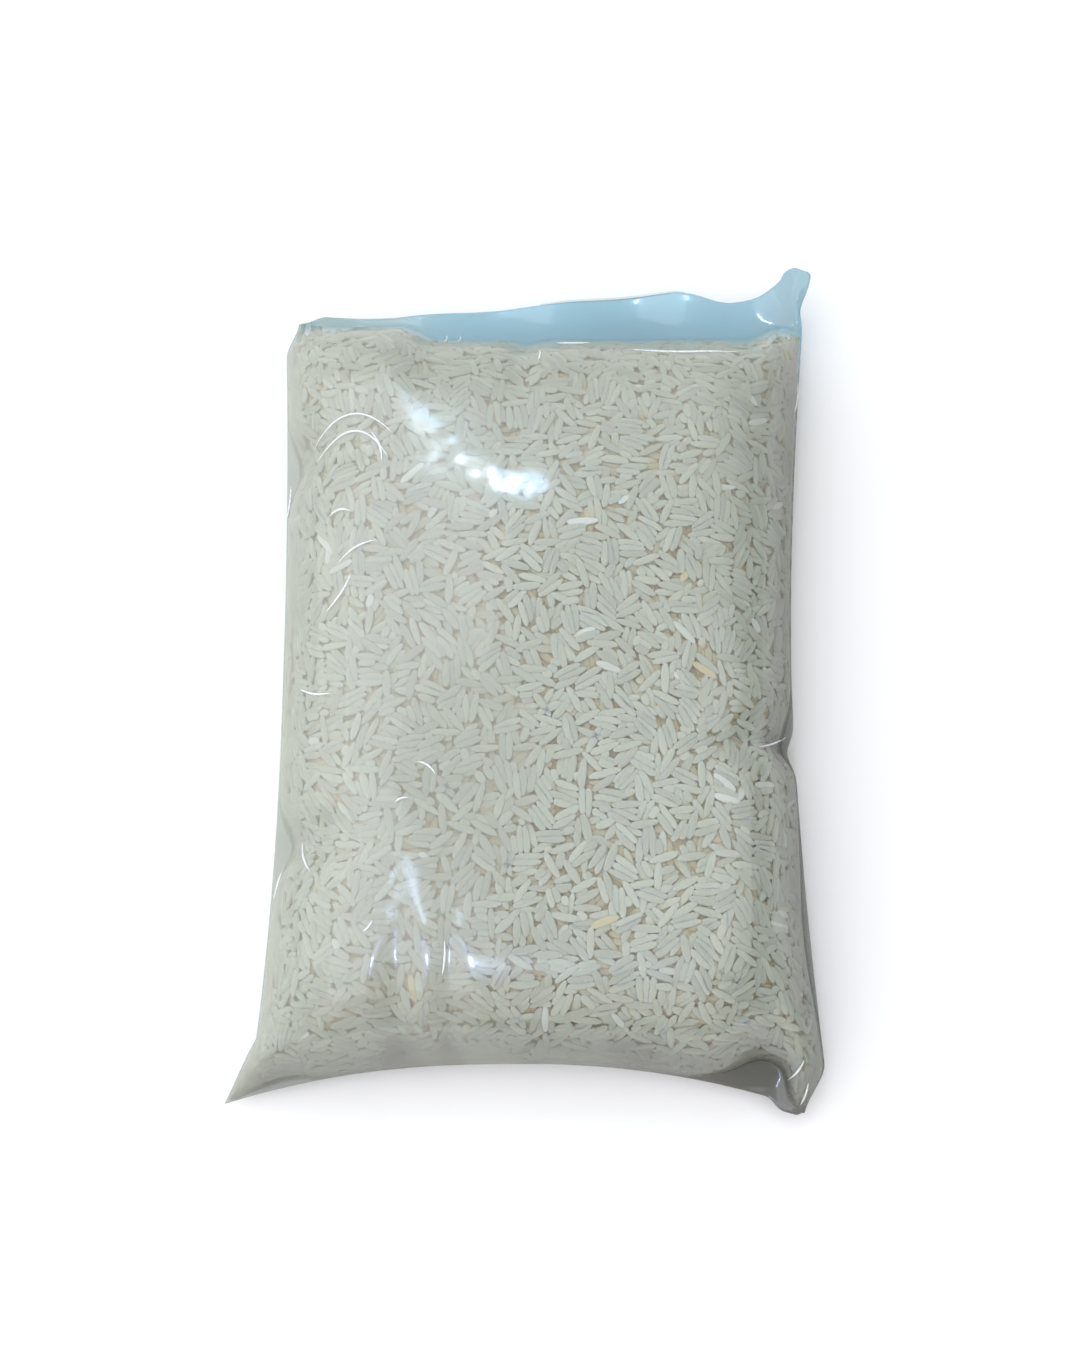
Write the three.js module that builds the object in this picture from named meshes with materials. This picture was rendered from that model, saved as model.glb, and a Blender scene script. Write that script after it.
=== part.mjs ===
// A clear film bag of long-grain rice, about 1 kg, lying on its back: a film tube sealed across
// the bottom and across the top, with an empty film header above the rice and a film ear at each
// corner. The film and the rice that fills it are one closed solid, with rice-sized bumps where
// the grains press the film from inside.
// Millimetres. X runs across the bag, Y along it towards the header, Z up from the table.

import * as THREE from "three";

// Driving sizes
const waistLeft = 73.3; // from the centreline to the side fold at the narrow middle
const waistRight = 71.8;
const bottomEnd = 109; // from the origin to the bottom seal at its middle
const fillEnd = 105; // from the origin to the header, where the filled part ends
const headerLow = 112; // from the origin to the cut edge, over the left side
const headerHigh = 121; // and over the right side
const ricePile = 43; // height of the filled bag
const filmWall = 0.8; // two films lying together, as thick as a solid needs to be
const foldHeight = 15; // height of the side folds at the waist
const underRound = 18; // width of the rounding between a fold and the flat underside
const shoulder = { side: 36, bottom: 38, fill: 32 }; // width of the rounding above each edge
const grainRelief = 0.75; // how far a rice grain presses the film out

// Steps of the upper surface, and how much closer they lie at the edges
const columns = 54;
const rows = 76;
const edgeCrowding = 0.45;

// Distances in from the side folds, the bottom seal and the header's edge of the rings of the underside
const underRings = [
  { side: 0.9, bottom: 0.9, header: 4 },
  { side: 3.5, bottom: 4, header: 9 },
  { side: 7, bottom: 8.5, header: 15 },
  { side: 11.5, bottom: 13.5, header: 24 },
  { side: 21, bottom: 22, header: 36 },
];

const clamp01 = (x) => Math.min(1, Math.max(0, x));
const mix = (a, b, share) => a + (b - a) * share;

// 0 before one place, 1 after another, and smooth between them
function ease(x, from, to) {
  const share = clamp01((x - from) / (to - from));
  return share * share * (3 - 2 * share);
}

// A smooth hump of height 1
const hump = (x, at, width) => Math.exp(-(((x - at) / width) ** 2));

// A taut film bulging over rice: 0 at the edge, where it stands nearly upright, and 1 from the
// given width on, with no crease where it gets level
const bulge = (distance, width) => (1 - (1 - clamp01(distance / width)) ** 2.5) ** 0.6;

// Film that leaves the rice for the header: it comes down in a slope and runs out level
const runOut = (distance, width) => (1 - (1 - clamp01(distance / width)) ** 2.5) ** 1.25;

// The plan of the bag. Each reach is how far an edge lies from the origin; across is the place
// from side to side, -1 to 1, and y the place along the bag.
function leftReach(y) {
  const towardsTop = clamp01(y / 110);
  const towardsBottom = Math.max(0, -y / 110);
  const ear = 6 * clamp01((-y - 102) / 17) ** 0.85;
  const tuckedCorner = 4 * ease(y, 98, 110);
  return waistLeft + 3 * towardsTop ** 2.2 + 6.2 * towardsBottom ** 2.5 + ear - tuckedCorner;
}

function rightReach(y) {
  const towardsTop = clamp01(y / 110);
  const towardsBottom = clamp01(-y / 110);
  const ear = 2.2 * ease(y, 112, 124) - 0.9 * hump(y, 113, 4) - 2.5 * ease(y, 122.5, 126);
  const tuckedCorner = 6.2 * ease(-y, 108, 124);
  const pinch = 2.2 * hump(y, -23, 4.5);
  return waistRight + 7.2 * towardsTop ** 1.6 + 7 * towardsBottom ** 2 + ear - tuckedCorner - pinch;
}

function bottomReach(across) {
  const leftEar = 10.5 * Math.max(0, -across) ** 2.8;
  const rightEar = 11.5 * Math.max(0, across) ** 1.9 + 2.5 * ease(across, 0.84, 0.93);
  return bottomEnd + leftEar + rightEar - 1.2 * ease(across, 0.97, 1);
}

function headerReach(across) {
  const rise = (headerHigh - headerLow) * clamp01((across + 0.62) / 1.1);
  const dip = 4 * hump(across, 0.7, 0.14);
  const ear = 4.8 * ease(across, 0.8, 0.96) - 1.8 * ease(across, 0.97, 1);
  const tuckedCorner = 3 * ease(-across, 0.89, 1);
  return headerLow + rise - dip + ear - tuckedCorner;
}

function fillReach(across) {
  const leftFill = 4.5 * ease(-across, 0.42, 0.6);
  const rightFill = 4 * ease(across, 0.78, 0.9);
  return fillEnd + leftFill + rightFill - 1.5 * hump(across, -0.08, 0.05);
}

// How far the film runs on past the rice, as an empty fin
const leftFin = (y) => 0.5 + 3.5 * hump(y, 61, 9) + 4.5 * hump(y, -50, 8);
const rightFin = (y) => 0.5 + 2.2 * hump(y, -18, 7) + 1.3 * hump(y, -75, 20);
const bottomFin = (across) => 0.6 + 8 * hump(across, 0.8, 0.13) + 1.8 * hump(across, -0.84, 0.1);

// Folds where the film is drawn in: shallow valleys that run inwards from an edge
const sideFolds = [
  { side: 1, at: -23, wide: 3.5, long: 10, deep: 5 },
  { side: -1, at: 61, wide: 6, long: 10, deep: 2.5 },
  { side: -1, at: -50, wide: 6, long: 10, deep: 3 },
  { side: 1, at: 62, wide: 7, long: 8, deep: 2 },
  { side: -1, at: 12, wide: 5, long: 9, deep: 1.5 },
];
const endFolds = [
  { end: -1, at: -38, wide: 4.5, long: 12, deep: 5 },
  { end: -1, at: -24, wide: 3, long: 10, deep: 4 },
  { end: -1, at: 26, wide: 8, long: 9, deep: 2.5 },
  { end: 1, at: -6, wide: 5, long: 12, deep: 4 },
  { end: 1, at: 38, wide: 9, long: 12, deep: 2 },
];

// Rolled and folded film: at the bottom right corner, and at both ends of the header
const filmRolls = [
  { x: 71, y: -116, wide: 4, long: 5, half: 2.2 },
  { x: -71, y: 108, wide: 3.5, long: 2.5, half: 1.2 },
  { x: 76, y: 116, wide: 3, long: 5, half: 0.9 },
];

// Height of the sharp outer edge of the film: folds, seals and the header
function rimHeight(x, y, across) {
  const lowBottom = 10 * clamp01(-y / 115) ** 3;
  const lowTop = 3 * clamp01(y / 110) ** 3;
  const raisedSeal = 7 * (1 - across ** 2) ** 2 * ease(-y, 70, 109);
  const layDown = 3 * (1 - across ** 2) * ease(y, 95, 118);
  const earLift = 5 * ease(across, 0.78, 1) * ease(y, 106, 124);
  const wave = 0.9 * Math.sin(x / 6.5 + 0.6) * ease(y, 100, 114);
  return foldHeight - lowBottom - lowTop + raisedSeal - layDown + earLift + wave;
}

// Half the thickness of the empty film: more where it is rolled up or folded over itself
function halfFilm(x, y) {
  let half = filmWall / 2;
  for (const roll of filmRolls) half += roll.half * hump(x, roll.x, roll.wide) * hump(y, roll.y, roll.long);
  return half;
}

// Height of the rice pile away from its edges: it slackens towards the ends
function pileHeight(x, y) {
  const slack = 4.5 * ease(y, 35, 105) + 1.5 * ease(-y, 60, 112);
  const swell = 0.9 * Math.sin(x / 19 + 1.1) * Math.sin(y / 24 + 0.4);
  return ricePile - slack + swell;
}

function foldDepth(x, y, edge) {
  let depth = 0;
  for (const fold of sideFolds) {
    const inwards = fold.side > 0 ? edge.right : edge.left;
    depth += fold.deep * hump(y, fold.at, fold.wide) * Math.exp(-inwards / fold.long);
  }
  for (const fold of endFolds) {
    const inwards = fold.end > 0 ? edge.fill : edge.bottom;
    depth += fold.deep * hump(x, fold.at, fold.wide) * Math.exp(-Math.max(0, inwards) / fold.long);
  }
  return depth;
}

// Where the point at shares u across and v along lies in plan, and how far it is from each edge
function planAt(u, v) {
  const across = 2 * u - 1;
  const y = mix(-bottomReach(across), headerReach(across), v);
  const x = mix(-leftReach(y), rightReach(y), u);
  const edge = {
    left: x + leftReach(y) - leftFin(y),
    right: rightReach(y) - x - rightFin(y),
    bottom: y + bottomReach(across) - bottomFin(across),
    fill: fillReach(across) - y,
  };
  return { x, y, across, edge };
}

function upperPoint(u, v, bump) {
  const { x, y, across, edge } = planAt(u, v);
  const sides = bulge(edge.left, shoulder.side) * bulge(edge.right, shoulder.side);
  const ends = bulge(edge.bottom, shoulder.bottom) * runOut(edge.fill, shoulder.fill);
  const full = sides * ends;
  const rim = rimHeight(x, y, across) + halfFilm(x, y);
  const rise = (pileHeight(x, y) - rim - foldDepth(x, y, edge)) * full;
  return [x, y, rim + rise + bump * full ** 0.5];
}

function lowerPoint(u, v) {
  const { x, y, across, edge } = planAt(u, v);
  const sides = bulge(edge.left, underRound) * bulge(edge.right, underRound);
  const ends = bulge(edge.bottom, underRound) * runOut(edge.fill, shoulder.fill);
  const rim = rimHeight(x, y, across) - halfFilm(x, y);
  return [x, y, rim * (1 - sides * ends)];
}

function edgePoint(u, v) {
  const { x, y, across } = planAt(u, v);
  return [x, y, rimHeight(x, y, across)];
}

// Shares from 0 to 1 whose steps are closer together at both ends
function crowdedShares(steps) {
  const shares = [];
  for (let i = 0; i <= steps; i += 1) {
    const even = i / steps;
    const crowded = (1 - Math.cos(Math.PI * even)) / 2;
    shares.push(mix(even, crowded, edgeCrowding));
  }
  return shares;
}

// A small seeded random generator
function seeded(seed) {
  let state = seed;
  return () => {
    state = (Math.imul(state, 1664525) + 1013904223) >>> 0;
    return state / 4294967296;
  };
}

// How far each grid point is pressed out. A grain lies over two neighbouring points, which are
// about half its length apart, in one of four directions.
function grainBumps(random) {
  const bumps = Array.from({ length: rows + 1 }, () => new Array(columns + 1).fill(null));
  const ways = [[0, 1], [1, 0], [1, 1], [1, -1]];
  for (let row = 1; row < rows; row += 1) {
    for (let column = 1; column < columns; column += 1) {
      if (bumps[row][column] !== null) continue;
      const pressed = random() < 0.55 ? grainRelief * (0.6 + 0.4 * random()) : 0;
      const [down, over] = ways[Math.floor(random() * ways.length)];
      bumps[row][column] = pressed;
      if (pressed > 0) bumps[Math.min(rows, row + down)][Math.max(0, column + over)] = pressed;
    }
  }
  return bumps;
}

// The upper surface as a grid, the underside as rings that run in from the same edge, and a flat
// patch that the bag rests on
function bagGeometry() {
  const acrossShares = crowdedShares(columns);
  const alongShares = crowdedShares(rows);
  const bumps = grainBumps(seeded(7));
  const points = [];
  const faces = [];
  const index = (row, column) => row * (columns + 1) + column;

  for (let row = 0; row <= rows; row += 1) {
    for (let column = 0; column <= columns; column += 1) {
      const u = acrossShares[column];
      const v = alongShares[row];
      const onEdge = row === 0 || row === rows || column === 0 || column === columns;
      points.push(onEdge ? edgePoint(u, v) : upperPoint(u, v, bumps[row][column] ?? 0));
    }
  }
  for (let row = 0; row < rows; row += 1) {
    for (let column = 0; column < columns; column += 1) {
      const near = index(row, column);
      const far = index(row + 1, column);
      faces.push([near, near + 1, far + 1], [near, far + 1, far]);
    }
  }

  // Once round the edge, counter-clockwise seen from above
  const rim = [];
  for (let column = 0; column < columns; column += 1) rim.push([0, column]);
  for (let row = 0; row < rows; row += 1) rim.push([row, columns]);
  for (let column = columns; column > 0; column -= 1) rim.push([rows, column]);
  for (let row = rows; row > 0; row -= 1) rim.push([row, 0]);

  const width = waistLeft + waistRight;
  const length = bottomEnd + headerHigh;
  let outer = rim.map(([row, column]) => index(row, column));
  for (const ring of underRings) {
    const inner = rim.map(([row, column]) => {
      const u = mix(ring.side / width, 1 - ring.side / width, acrossShares[column]);
      const v = mix(ring.bottom / length, 1 - ring.header / length, alongShares[row]);
      points.push(lowerPoint(u, v));
      return points.length - 1;
    });
    rim.forEach((_, i) => {
      const next = (i + 1) % rim.length;
      faces.push([outer[i], inner[i], inner[next]], [outer[i], inner[next], outer[next]]);
    });
    outer = inner;
  }

  const patch = outer.map((i) => new THREE.Vector2(points[i][0], points[i][1]));
  for (const i of outer) points[i][2] = 0;
  for (const [a, b, c] of THREE.ShapeUtils.triangulateShape(patch, [])) {
    faces.push([outer[a], outer[c], outer[b]]);
  }

  const geometry = new THREE.BufferGeometry();
  geometry.setAttribute("position", new THREE.Float32BufferAttribute(points.flat(), 3));
  geometry.setIndex(faces.flat());
  geometry.computeVertexNormals();
  return geometry;
}

// The origin goes under the middle of the bag's outer box
function centredOverOrigin(geometry) {
  geometry.computeBoundingBox();
  const middle = geometry.boundingBox.getCenter(new THREE.Vector3());
  geometry.translate(-middle.x, -middle.y, 0);
  return geometry;
}

function filledBag() {
  const ricePack = new THREE.MeshStandardMaterial({
    color: 0xc4c6ba,
    roughness: 0.35,
    metalness: 0,
  });
  const mesh = new THREE.Mesh(centredOverOrigin(bagGeometry()), ricePack);
  mesh.name = "rice_bag";
  return mesh;
}

const riceBag = new THREE.Group();
riceBag.add(filledBag());

export default riceBag;
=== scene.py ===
import math
import time
import bpy
import numpy as np
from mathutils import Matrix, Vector


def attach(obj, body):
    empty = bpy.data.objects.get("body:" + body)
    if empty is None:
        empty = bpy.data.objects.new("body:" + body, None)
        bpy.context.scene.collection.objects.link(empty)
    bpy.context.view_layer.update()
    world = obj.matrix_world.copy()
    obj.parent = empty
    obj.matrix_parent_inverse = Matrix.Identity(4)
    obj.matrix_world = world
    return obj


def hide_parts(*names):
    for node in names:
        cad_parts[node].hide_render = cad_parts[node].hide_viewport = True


# A clear film bag of long-grain rice lying on its back. The film is a thin skin with its folds,
# header and ears, and the rice in it is separate grains packed against the film.
# Lengths are in millimetres up to the meshes, lights and camera, which take metres.

startTime = time.time()
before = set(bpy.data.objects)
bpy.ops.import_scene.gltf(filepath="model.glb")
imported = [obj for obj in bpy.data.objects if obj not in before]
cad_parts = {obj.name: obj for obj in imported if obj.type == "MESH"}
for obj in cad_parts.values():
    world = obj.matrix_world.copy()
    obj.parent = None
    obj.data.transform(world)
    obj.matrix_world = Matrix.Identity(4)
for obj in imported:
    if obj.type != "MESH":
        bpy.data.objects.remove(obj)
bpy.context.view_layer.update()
mm = 0.001
randomDraw = np.random.default_rng(7)


def report(stage):
    print(f"[{time.time() - startTime:6.1f} s] {stage}")


# The form of the bag: the same sizes and functions as the solid's.
# X runs across the bag, Y along it to the header.
bag = {
    "waistLeft": 73.3, "waistRight": 71.8,  # from the centreline to the side folds
    "bottomEnd": 109, "fillEnd": 105,  # from the origin to the bottom seal and to the header
    "headerLow": 112, "headerHigh": 121,  # to the header's cut edge, over its left and right side
    "ricePile": 43, "foldHeight": 15,  # heights of the filled bag and of its side folds
    "underRound": 18,  # rounding between a fold and the flat underside
    "shoulderSide": 36, "shoulderBottom": 38, "shoulderFill": 32,  # rounding above each edge
    "halfGap": 0.15,  # half the gap between the two films of the header
}
# Folds drawn in from the sides and ends: which one, place along it, width, length, depth
sideFolds = [
    (1, -23, 3.5, 10, 5), (-1, 61, 6, 10, 2.5), (-1, -50, 6, 10, 3), (1, 62, 7, 8, 2), (-1, 12, 5, 9, 1.5),
]
endFolds = [
    (-1, -38, 4.5, 12, 5), (-1, -24, 3, 10, 4), (-1, 26, 8, 9, 2.5), (1, -6, 5, 12, 4), (1, 38, 9, 12, 2),
]
# Rolled film at three corners: x, y, half width, half length, half height
filmRolls = [(71, -116, 4, 5, 2.2), (-71, 108, 3.5, 2.5, 1.2), (76, 116, 3, 5, 0.9)]


def clamp01(x):
    return np.clip(x, 0.0, 1.0)


def mix(a, b, share):
    return a + (b - a) * share


def ease(x, start, end):
    share = clamp01((x - start) / (end - start))
    return share * share * (3 - 2 * share)


def hump(x, at, width):
    return np.exp(-(((x - at) / width) ** 2))


def bulge(distance, width):  # taut film over rice: 0 at its edge, 1 from the width on
    return (1 - (1 - clamp01(distance / width)) ** 2.5) ** 0.6


def runOut(distance, width):  # film that leaves the rice for the header and runs out level
    return (1 - (1 - clamp01(distance / width)) ** 2.5) ** 1.25


def leftReach(y):
    top, bottom = clamp01(y / 110), np.maximum(0, -y / 110)
    ear = 6 * clamp01((-y - 102) / 17) ** 0.85 - 4 * ease(y, 98, 110)
    return bag["waistLeft"] + 3 * top ** 2.2 + 6.2 * bottom ** 2.5 + ear


def rightReach(y):
    top, bottom = clamp01(y / 110), clamp01(-y / 110)
    ear = 2.2 * ease(y, 112, 124) - 0.9 * hump(y, 113, 4) - 2.5 * ease(y, 122.5, 126)
    inwards = 6.2 * ease(-y, 108, 124) + 2.2 * hump(y, -23, 4.5)
    return bag["waistRight"] + 7.2 * top ** 1.6 + 7 * bottom ** 2 + ear - inwards


def bottomReach(across):
    leftEar = 10.5 * np.maximum(0, -across) ** 2.8
    rightEar = 11.5 * np.maximum(0, across) ** 1.9 + 2.5 * ease(across, 0.84, 0.93)
    return bag["bottomEnd"] + leftEar + rightEar - 1.2 * ease(across, 0.97, 1)


def headerReach(across):
    rise = (bag["headerHigh"] - bag["headerLow"]) * clamp01((across + 0.62) / 1.1)
    ends = 4.8 * ease(across, 0.8, 0.96) - 1.8 * ease(across, 0.97, 1) - 3 * ease(-across, 0.89, 1)
    return bag["headerLow"] + rise - 4 * hump(across, 0.7, 0.14) + ends


def fillReach(across):
    sides = 4.5 * ease(-across, 0.42, 0.6) + 4 * ease(across, 0.78, 0.9)
    return bag["fillEnd"] + sides - 1.5 * hump(across, -0.08, 0.05)


def edgeDistances(x, y):  # how far a place is from the left, right, bottom and header end of the fill
    left, right = leftReach(y), rightReach(y)
    across = np.clip(2 * (x + left) / (left + right) - 1, -1, 1)
    leftFin = 0.5 + 3.5 * hump(y, 61, 9) + 4.5 * hump(y, -50, 8)
    rightFin = 0.5 + 2.2 * hump(y, -18, 7) + 1.3 * hump(y, -75, 20)
    bottomFin = 0.6 + 8 * hump(across, 0.8, 0.13) + 1.8 * hump(across, -0.84, 0.1)
    distances = (x + left - leftFin, right - x - rightFin, y + bottomReach(across) - bottomFin,
                 fillReach(across) - y)
    return across, distances


def rimHeight(x, y, across):
    lowered = 10 * clamp01(-y / 115) ** 3 + 3 * clamp01(y / 110) ** 3
    middle = 1 - across ** 2
    seals = 7 * middle ** 2 * ease(-y, 70, 109) - 3 * middle * ease(y, 95, 118)
    ear = 5 * ease(across, 0.78, 1) * ease(y, 106, 124)
    wave = 0.9 * np.sin(x / 6.5 + 0.6) * ease(y, 100, 114)
    return bag["foldHeight"] - lowered + seals + ear + wave


def pileHeight(x, y):
    slack = 4.5 * ease(y, 35, 105) + 1.5 * ease(-y, 60, 112)
    return bag["ricePile"] - slack + 0.9 * np.sin(x / 19 + 1.1) * np.sin(y / 24 + 0.4)


def foldDepth(x, y, distances):
    left, right, bottom, fill = distances
    depth = np.zeros_like(x)
    for side, at, wide, inwards, deep in sideFolds:
        depth += deep * hump(y, at, wide) * np.exp(-np.maximum(0, right if side > 0 else left) / inwards)
    for end, at, wide, inwards, deep in endFolds:
        depth += deep * hump(x, at, wide) * np.exp(-np.maximum(0, fill if end > 0 else bottom) / inwards)
    return depth


def halfFilm(x, y):
    half = np.full_like(x, bag["halfGap"])
    for atX, atY, wide, inwards, thick in filmRolls:
        half += thick * hump(x, atX, wide) * hump(y, atY, inwards)
    return half


def filmHeights(x, y):  # heights of the upper and lower film, and how full the bag is there
    across, (left, right, bottom, fill) = edgeDistances(x, y)
    full = (bulge(left, bag["shoulderSide"]) * bulge(right, bag["shoulderSide"])
            * bulge(bottom, bag["shoulderBottom"]) * runOut(fill, bag["shoulderFill"]))
    under = (bulge(left, bag["underRound"]) * bulge(right, bag["underRound"])
             * bulge(bottom, bag["underRound"]) * runOut(fill, bag["shoulderFill"]))
    rim, half = rimHeight(x, y, across), halfFilm(x, y)
    fold = foldDepth(x, y, (left, right, bottom, fill))
    upper = rim + half + (pileHeight(x, y) - rim - half - fold) * full
    lower = (rim - half) * (1 - under)
    return upper, lower, full


def planPlaces(u, v):  # places in plan from shares across and along the bag
    across = 2 * u - 1
    y = mix(-bottomReach(across), headerReach(across), v)
    return mix(-leftReach(y), rightReach(y), u), y


outlineShare = np.linspace(0, 1, 400)
atStart, atEnd = np.zeros_like(outlineShare), np.ones_like(outlineShare)
outline = [planPlaces(u, v) for u, v in
           ((outlineShare, atStart), (outlineShare, atEnd), (atStart, outlineShare), (atEnd, outlineShare))]
outlineX = np.concatenate([x for x, _ in outline])
outlineY = np.concatenate([y for _, y in outline])
boxMiddle = np.array([(outlineX.min() + outlineX.max()) / 2, (outlineY.min() + outlineY.max()) / 2, 0.0])


def toScene(points):  # from this description's millimetres to the row's metres
    return (np.asarray(points, float) - boxMiddle) * mm


class Raster:
    # A field on a square grid over the bag's plan, read between its points
    def __init__(self, step):
        self.step = step
        self.low = np.array([-96.0, -134.0])
        self.xs = np.arange(self.low[0], 92, step)
        self.ys = np.arange(self.low[1], 136, step)
        self.x, self.y = np.meshgrid(self.xs, self.ys)

    def read(self, field, x, y):
        i = np.clip((x - self.low[0]) / self.step, 0, len(self.xs) - 1.001)
        j = np.clip((y - self.low[1]) / self.step, 0, len(self.ys) - 1.001)
        i0, j0 = i.astype(int), j.astype(int)
        a, b = i - i0, j - j0
        near = field[j0, i0] * (1 - a) + field[j0, i0 + 1] * a
        far = field[j0 + 1, i0] * (1 - a) + field[j0 + 1, i0 + 1] * a
        return near * (1 - b) + far * b


# The rice: grains pushed apart until they lie side by side under the film
grains = {
    "length": 8.1, "lengthSpread": 0.45, "width": 2.25, "thickness": 1.55,  # one whole grain
    "radius": 0.82,  # that the packing takes a grain to have
    "upperArea": 8.0, "behindArea": 13.0, "underArea": 15.5, "sideArea": 8.5,  # for each grain, in mm2
    "behindBy": 1.5,  # how much deeper the second layer lies
    "band": {"upper": 1.4, "behind": 1.4, "under": 0.7, "side": 1.4},  # how freely each layer may sink
    "sideInwards": 1.3, "edgeRoom": 0.9,  # from the bag's edge to its upright wall's grains, and to any
    "pointRoom": 0.25, "clearance": 0.2,  # of every point of a grain from the bag's edge and from the film
    "lowSideShare": 0.45,  # of the upright wall's height that the underside's layer also fills
    "sideStrip": 0.35, "sideTurn": 0.6,  # half width of the strip of side grains, and their spread of ways
    "headerRoom": 4,  # between the header and the side grains
    "leastGap": 1.7, "leastEdge": 0.5, "leastFull": 0.1,  # thinnest, narrowest and emptiest place with rice
    "steepest": 7.0,  # slope of a wall beyond which it gets no more grains
    "wayWaves": 14, "wayLengths": (14, 34), "waySwing": 1.1,  # waves of the grains' common way
    "waySpread": 0.65, "tilt": 0.13,  # from grain to grain, in radians
    "brokenLength": (0.35, 0.7),  # shares of a whole grain
    "roll": 0.2, "sizeSpread": 0.05, "bend": 0.12, "taper": 0.09,  # spread of each grain's own shape
    "rounds": 80,  # of pushing apart
    "brokenShare": 0.18, "chalkyShare": 0.012, "yellowShare": 0.002,
    "softShading": 0.9,  # how far a grain's shading follows the film instead of its own round
    "shade": (0.6, 2.1),  # depths under the film from which and up to which a grain turns to the warmer painted shade of the gaps
}

riceGrid = Raster(0.5)
riceUpper, riceLower, riceFull = filmHeights(riceGrid.x, riceGrid.y)
slopeUpperY, slopeUpperX = np.gradient(riceUpper, riceGrid.step)
slopeLowerY, slopeLowerX = np.gradient(riceLower, riceGrid.step)
planEdge = np.min(edgeDistances(riceGrid.x, riceGrid.y)[1], axis=0)
fillEdge = edgeDistances(riceGrid.x, riceGrid.y)[1][3]
planEdgeY, planEdgeX = np.gradient(planEdge, riceGrid.step)


def wallNormal(x, y, upper):  # outward normal of the film over or under a place
    slopeX, slopeY = (slopeUpperX, slopeUpperY) if upper else (slopeLowerX, slopeLowerY)
    n = np.stack([-riceGrid.read(slopeX, x, y), -riceGrid.read(slopeY, x, y), np.ones_like(x)], 1)
    n = n if upper else -n
    return n / np.linalg.norm(n, axis=1, keepdims=True)


def wallDepth(points, upper):  # how far points lie inside the film, along its normal
    x, y, z = points.T
    n = wallNormal(x, y, upper)
    if upper:
        return (riceGrid.read(riceUpper, x, y) - z) * n[:, 2], n
    return (z - riceGrid.read(riceLower, x, y)) * -n[:, 2], n


def keepInside(points):
    # Brings points that stand through the film back to just inside it, by more where the wall is steep
    for _ in range(4):
        back = np.maximum(0, grains["pointRoom"] - riceGrid.read(planEdge, points[:, 0], points[:, 1]))
        inwards = [riceGrid.read(field, points[:, 0], points[:, 1]) for field in (planEdgeX, planEdgeY)]
        points = points + np.stack([back * inwards[0], back * inwards[1], np.zeros_like(back)], 1)
        for upper in (True, False):
            depth, n = wallDepth(points, upper)
            wanted = grains["clearance"] * (1.3 - np.abs(n[:, 2]))
            points = points - n * np.maximum(0, wanted - depth)[:, None]
    return points


def scatter(upper, areaEach, depth, seed):
    # Even but not regular places on the film's inner side, as many as its area asks for
    slopeX, slopeY = (slopeUpperX, slopeUpperY) if upper else (slopeLowerX, slopeLowerY)
    steepest = grains["steepest"]
    field = np.minimum(np.hypot(np.hypot(slopeX, slopeY), 1), steepest)
    room = ((riceUpper - riceLower > grains["leastGap"]) & (planEdge > grains["leastEdge"])
            & (riceFull > grains["leastFull"]))
    planArea = (riceGrid.xs[-1] - riceGrid.xs[0]) * (riceGrid.ys[-1] - riceGrid.ys[0])
    count = int(planArea * steepest / areaEach)
    golden = 1.2207440846057596  # solves g^4 = g + 1: its powers spread points evenly in three directions
    index = np.arange(count) + 1 + seed * 1000
    u, v, w = (index / golden) % 1, (index / golden ** 2) % 1, (index / golden ** 3) % 1
    x = riceGrid.xs[0] + u * (riceGrid.xs[-1] - riceGrid.xs[0])
    y = riceGrid.ys[0] + v * (riceGrid.ys[-1] - riceGrid.ys[0])
    density = riceGrid.read(np.where(room, field, 0.0), x, y) / steepest
    kept = (w < density) & (riceGrid.read(room.astype(float), x, y) > 0.99)
    x, y = x[kept], y[kept]
    n = wallNormal(x, y, upper)
    surface = riceGrid.read(riceUpper if upper else riceLower, x, y)
    return np.stack([x, y, surface], 1) - n * depth, n


def bundleAngle(x, y):  # neighbouring grains lie much the same way, in patches a few grains wide
    angle = np.zeros_like(x)
    waves = np.random.default_rng(23)
    for _ in range(grains["wayWaves"]):
        way, wave = waves.uniform(0, 2 * math.pi), waves.uniform(*grains["wayLengths"])
        phase, weight = waves.uniform(0, 2 * math.pi), waves.uniform(0.5, 1.0)
        angle += weight * np.sin(2 * math.pi / wave * (x * math.cos(way) + y * math.sin(way)) + phase)
    return angle * grains["waySwing"]


def unit(vectors):
    return vectors / np.maximum(1e-9, np.linalg.norm(vectors, axis=1, keepdims=True))


def layGrains(upper, areaEach, depth, seed):
    centres, normals = scatter(upper, areaEach, depth, seed)
    x, y = centres[:, 0], centres[:, 1]
    angle = bundleAngle(x + seed * 57, y) + randomDraw.normal(0, grains["waySpread"], len(x))
    across = unit(np.cross(np.tile([0.0, 1.0, 0.0], (len(x), 1)), normals))
    along = np.cross(normals, across)
    way = np.cos(angle)[:, None] * across + np.sin(angle)[:, None] * along
    way = unit(way + normals * randomDraw.normal(0, grains["tilt"], len(x))[:, None])
    return centres, way


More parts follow.
